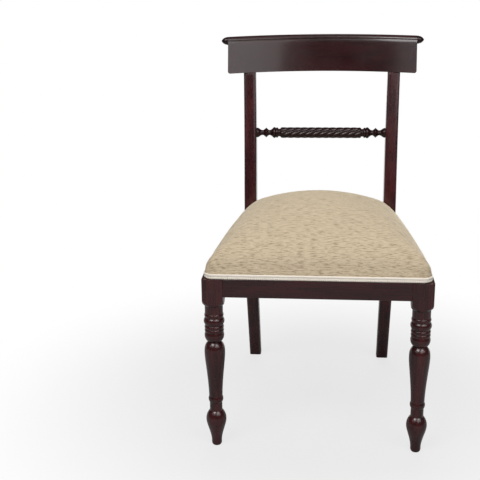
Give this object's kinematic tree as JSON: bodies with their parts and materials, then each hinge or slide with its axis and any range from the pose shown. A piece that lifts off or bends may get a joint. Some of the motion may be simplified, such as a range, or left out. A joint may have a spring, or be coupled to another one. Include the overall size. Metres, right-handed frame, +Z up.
{
  "type": "dining chair",
  "caption": "Dark wooden dining chair with turned front legs, swept back legs, a bowed crest rail, a rope-twisted back rail and a domed upholstered seat edged with braid.",
  "frame": {"origin": "on the floor, under the middle of the chair's footprint", "axes": "+Z up, the front of the chair faces -Y, +X is the right-hand side seen from the front"},
  "size_m": [0.494, 0.5432, 0.8711],
  "materials": {
    "mahogany": "very dark red-brown stained wood under a satin-gloss lacquer",
    "frame_wood": "plain unfinished hardwood of the hidden braces",
    "plywood": "bare birch plywood",
    "seat_fabric": "beige slubbed chenille",
    "foam": "pale yellow upholstery foam",
    "gimp_braid": "cream woven gimp braid",
    "dust_cloth": "black cambric",
    "steel": "bright zinc-plated steel screws and staples"
  },
  "bodies": {
    "root": {"front_leg_left": "mahogany", "front_leg_right": "mahogany", "back_post_left": "mahogany", "back_post_right": "mahogany", "front_seat_rail": "mahogany", "back_seat_rail": "mahogany", "left_seat_rail": "mahogany", "right_seat_rail": "mahogany", "crest_rail": "mahogany", "crest_finial_left": "mahogany", "crest_finial_right": "mahogany", "rope_rail": "mahogany", "corner_block_front_left": "frame_wood", "corner_block_front_right": "frame_wood", "corner_block_back_left": "frame_wood", "corner_block_back_right": "frame_wood", "seat_board": "plywood", "seat_foam": "foam", "seat_cover": "seat_fabric", "seat_gimp_front": "gimp_braid", "seat_gimp_back": "gimp_braid", "dust_cover": "dust_cloth", "corner_block_screws": "steel", "seat_screws": "steel", "dust_cover_staples": "steel"}
  },
  "joints": []
}
